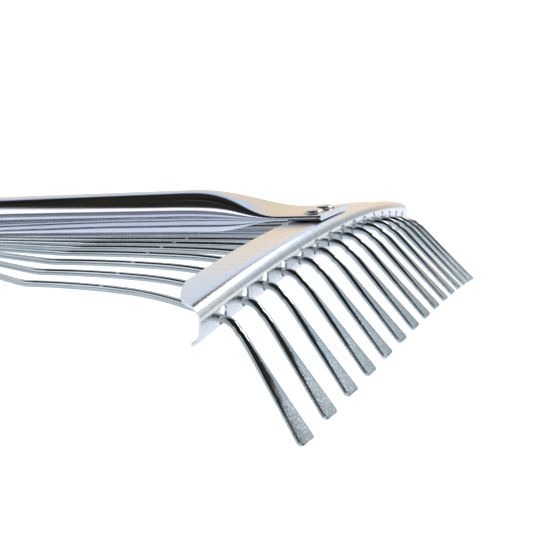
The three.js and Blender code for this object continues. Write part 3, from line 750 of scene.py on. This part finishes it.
lever_outline = arc(0, 0, 6.5, 180, 360, 24) + bezier((6.5, 0), (6.5, 14), (1, 16), (0, 24))
lever_outline += arc(-4, 49, 3, 0, 180, 16) + bezier((-7, 49), (-8.5, 22), (-6.5, 12), (-6.5, 0))[:-1]
lever_outline = [(x + LEVER_X, y + BOLT_Y) for x, y in lever_outline]
lever = prism_mesh("cam_lever_cheeks", [(lever_outline, BOLT_Z - 6, BOLT_Z + 6)], level)
channel = [(LEVER_X - 20, BOLT_Y - 20), (LEVER_X + 20, BOLT_Y - 20), (LEVER_X + 20, BOLT_Y + 11),
           (LEVER_X - 20, BOLT_Y + 11)]
lever_cuts = [(channel, BOLT_Z - 3.8, BOLT_Z + 3.8)]
lever = boolean(lever, cutter("lever_channel", lever_cuts, level))
lever_bore = [(circle(LEVER_X, BOLT_Y, PIN_HOLE), BOLT_Z - 8, BOLT_Z + 8)]
lever = boolean(lever, cutter("lever_bore", lever_bore, level))
finish_mesh("cam_lever_cheeks", bevelled(lever, 0.5, 3), PRESSED_STEEL, "cam_lever",
            ["clamp_lever"], 30)
pin_half = [(1.6, 7.0), (1.2, 7.4), (AXIS, 7.4)]
pin_profile = [(radius, BOLT_Z - height) for radius, height in pin_half[::-1]]
pin_profile += [(radius, BOLT_Z + height) for radius, height in pin_half]
pin = lathe("lever_pin_rod", pin_profile, 32, "Z", (LEVER_X, BOLT_Y, 0))
finish_mesh("lever_pin_rod", pin, RIVET_STEEL, CARRIER, ["lever_pin"])

# ---- handle ----

ROD_R, ROD_IN = 8.9, 8.0
rod_profile = [(ROD_IN, 130), (ROD_R - 0.15, 130), (ROD_R, 130.2), *((ROD_R, y) for y in range(160, 761, 40)),
               (ROD_R, 765.8), (ROD_R - 0.15, 766), (ROD_IN, 766)]
rod_profile += [(ROD_IN, y) for y in range(700, 131, -120)]
finish_mesh("upper_tube_shell", lathe("upper_tube_shell", rod_profile, 64, closed=True),
            TUBE_STEEL, HANDLE, ["upper_tube"], 50)


def grip_radius(place):
    """Six shallow finger waves under fine ribs, within the grip's outer size."""
    start, end, rib = 643.0, 753.0, 3.2
    if not start < place < end:
        return 14.5
    wave = 0.6 * (1 - math.cos((place - start) / (end - start) * 6 * math.pi))
    groove = 0.4 * max(0.0, math.cos(place / rib * TAU)) ** 0.5
    return 14.5 - wave - groove


grip_profile = [(9.2, 634), (12.3, 634), (12.9, 634.4), (13.7, 636), (14.15, 639), (14.4, 641), (14.5, 642.9)]
grip_profile += [(grip_radius(y), y) for y in np.arange(643.2, 752.9, 0.4)]
grip_profile += [(14.5, 753.2), (14.45, 757), (14.2, 760), (13.9, 761.6), (13.3, 762), (9.2, 762)]
finish_mesh("grip_sleeve", lathe("grip_sleeve", grip_profile, 72, closed=True),
            GRIP_RUBBER, HANDLE, ["grip"], 50)


def fluted(radius, place, angle):
    """Eight finger flutes in the twist collar."""
    if radius < 16:
        return radius
    length = min(max((place - 581) / 3, 0.0), max((614 - place) / 3, 0.0), 1.0)
    return radius - 1.5 * length * max(0.0, math.cos(8 * angle)) ** 2


collar_profile = [(10.8, 574), (14.1, 574), (14.6, 574.3), (15.9, 577), (16.4, 578.5), (16.5, 579.3)]
collar_profile += [(16.5, y) for y in np.arange(580, 615.9, 0.8)]
collar_profile += [(16.35, 616.6), (15.4, 619.2), (14.2, 621.7), (13.8, 622), (9.5, 622), (9.5, 619.6),
                   (12.5, 619.3), (12.5, 598), (10.8, 598)]
collar = lathe("lock_collar_shell", collar_profile, 128, shape=fluted, closed=True)
finish_mesh("lock_collar_shell", collar, BLACK_PLASTIC, "twist_collar", ["lock_collar"], 50)

cap_profile = [(AXIS, 766.3), (9.2, 766.3), (9.2, 762.3), (13.4, 762.3), (13.7, 762.6), (14.1, 763.6),
               (14.2, 765), (14.15, 766.5), (13.8, 768.4), (12.8, 770.6), (11.2, 772.3), (AXIS, 772.3)]
cap = lathe("end_cap_tab", cap_profile, 72)
tab_outline = [(768, -11), *arc(785, 0, 11, -90, 90, 32), (768, 11)]
cap = boolean(cap, cutter("cap_tab", [(tab_outline, -3.5, 3.5)], lengthways), "UNION")
ring_hole = [(circle(785, 0, 6), -6, 6)]
cap = boolean(cap, cutter("cap_hole", ring_hole, lengthways))
finish_mesh("end_cap_tab", bevelled(cap, 0.6, 3, 50), BLACK_PLASTIC, HANDLE, ["end_cap"], 40)

# ---- CAD nodes that keep their shape ----

MATERIALS = {"polished_zinc": TUBE_STEEL, "brushed_zinc": PRESSED_STEEL, "fastener_zinc": RIVET_STEEL,
             "black_plastic": BLACK_PLASTIC, "grip_rubber": GRIP_RUBBER}
slot_of = {part["node"]: part["material_slot"] for part in frame["record"]["subparts"]}
for name, node in frame["nodes"].items():
    node.data.materials.clear()
    node.data.materials.append(MATERIALS[slot_of[name]])

# ---- stage, light and camera ----

FLOOR_EDGE = -0.42  # the pale sheet ends behind the camera
bpy.ops.mesh.primitive_plane_add(size=8, location=(4 + FLOOR_EDGE, 0, -0.0002))
floor = bpy.context.object
floor.name = "floor"
paper = Shader("floor_paper", Roughness=0.5, Specular_IOR_Level=0.2)
grain = paper.noise(paper.coords((1, 1, 1), "object"), 30.0)
paper.finish(Base_Color=paper.ramp(grain, [(0, (0.93,) * 3), (1, (0.96,) * 3)]))
seen = paper.node("LightPath").outputs["Is Camera Ray"]
glow = paper.node("Emission")
paper.link(paper.mix(seen, (0.48, 0.55, 0.66), (0.86, 0.86, 0.86)), glow.inputs["Color"])
both = paper.node("AddShader")
paper.link(paper.bsdf.outputs[0], both.inputs[0])
paper.link(glow.outputs[0], both.inputs[1])
paper.link(both.outputs[0], paper.tree.nodes["Material Output"].inputs["Surface"])
floor.data.materials.append(paper.material)


def build_world():
    """A pale studio with a dark room behind the camera's side, which the metal reflects."""
    world = bpy.data.worlds.new("studio")
    bpy.context.scene.world = world
    world.use_nodes = True
    tree = world.node_tree
    tree.nodes.clear()
    s = Shader.__new__(Shader)
    s.tree = tree
    direction = s.node("TexCoord").outputs["Generated"]
    split = s.fill(s.node("SeparateXYZ"), {"Vector": direction})
    height = split.outputs["Z"]

    def toward(x, y):
        facing = s.fill(s.node("VectorMath", operation="DOT_PRODUCT"), {0: direction, 1: (x, y, 0.0)})
        return facing.outputs["Value"]

    away = toward(0.968, 0.25)
    level = s.scaled(height, 0, 1, -1.0, 1.0)
    backdrop = s.ramp(level, [
        (0.5, (0.80, 0.73, 0.66)), (0.56, (0.92, 0.75, 0.55)), (0.69, (0.94, 0.80, 0.62)),
        (0.735, (0.66, 0.86, 1.08)), (0.86, (0.66, 0.70, 0.84))])
    window = s.ramp(level, [
        (0.36, (0.20, 0.21, 0.26)), (0.47, (0.16, 0.18, 0.24)), (0.50, (0.30, 0.34, 0.42)),
        (0.575, (0.10, 0.12, 0.16)), (0.60, (1.5, 1.5, 1.55)), (0.65, (1.5, 1.5, 1.55))])
    around = s.mix(s.scaled(away, 0, 1, -0.25, 0.15), (0, 0, 0), (0, 0, 0))
    s.link(window, around.node.inputs[6])
    s.link(backdrop, around.node.inputs[7])
    room = s.ramp(s.noise(direction, 5.0, 4.0), [
        (0.34, (0.008, 0.010, 0.010)), (0.5, (0.035, 0.030, 0.018)), (0.62, (0.012, 0.018, 0.024)),
        (0.76, (0.16, 0.14, 0.11))])
    handle_side = s.scaled(split.outputs["Y"], 0, 0.13, 0.45, 0.60)
    lower = s.math("MULTIPLY", handle_side, s.scaled(away, 0, 1, -0.1, 0.3))
    limit = s.math("SUBTRACT", s.math("ADD", s.math("MULTIPLY", away, 0.3376), 0.5425), lower)
    ragged = s.scaled(s.noise(direction, 3.0, 3.0), -0.06, 0.06)
    above = s.math("ADD", s.math("SUBTRACT", height, limit), ragged)
    dark = s.scaled(above, 0, 1, -0.03, 0.05)
    grey = s.math("MULTIPLY", s.scaled(toward(0.82, -0.57), 0, 1, 0.80, 0.95), s.ramp(level, [
        (0.50, (0, 0, 0)), (0.53, (1, 1, 1)), (0.70, (1, 1, 1)), (0.78, (0, 0, 0))]))
    colour = s.mix(grey, around, (0.34, 0.42, 0.46))
    colour = s.mix(dark, colour, (0, 0, 0))
    s.link(room, colour.node.inputs[7])
    light = s.node("Background")
    s.fill(light, {"Color": colour, "Strength": 1.05})
    sheet = s.node("Background")
    s.fill(sheet, {"Color": (1, 1, 1, 1), "Strength": 1.1})
    choose = s.node("MixShader")
    s.link(s.node("LightPath").outputs["Is Camera Ray"], choose.inputs[0])
    s.link(light.outputs[0], choose.inputs[1])
    s.link(sheet.outputs[0], choose.inputs[2])
    s.link(choose.outputs[0], s.node("OutputWorld").inputs["Surface"])


build_world()


def area_light(name, place, target, size, power, colour):
    lamp = bpy.data.lights.new(name, "AREA")
    lamp.shape, lamp.size, lamp.size_y = "RECTANGLE", *size
    lamp.energy, lamp.color = power, colour
    holder = bpy.data.objects.new(name, lamp)
    bpy.context.scene.collection.objects.link(holder)
    holder.location = place
    holder.rotation_euler = (Vector(target) - Vector(place)).to_track_quat("-Z", "Y").to_euler()


head = placed((0, 0, -20))
area_light("key", (0.75, -0.85, 1.3), head, (0.9, 0.5), 6, (1.0, 0.98, 0.95))

camera = bpy.data.cameras.new("camera")
camera.sensor_width, camera.lens = 36.0, 52.146
camera.clip_start, camera.clip_end = 0.01, 20
viewer = bpy.data.objects.new("camera", camera)
bpy.context.scene.collection.objects.link(viewer)
CAMERA_AT = (-325.905, -137.734, 50.81)
CAMERA_TURN = (1.2546253747, -0.6683357725, -0.9798445265)  # rotation vector in the tube's frame
turn = Vector(CAMERA_TURN)
aim = Matrix.Rotation(turn.length, 4, turn.normalized())
viewer.matrix_world = TUBE @ Matrix.Translation(Vector(CAMERA_AT) * MM) @ aim
bpy.context.scene.camera = viewer
bpy.context.scene.view_settings.view_transform = "Standard"
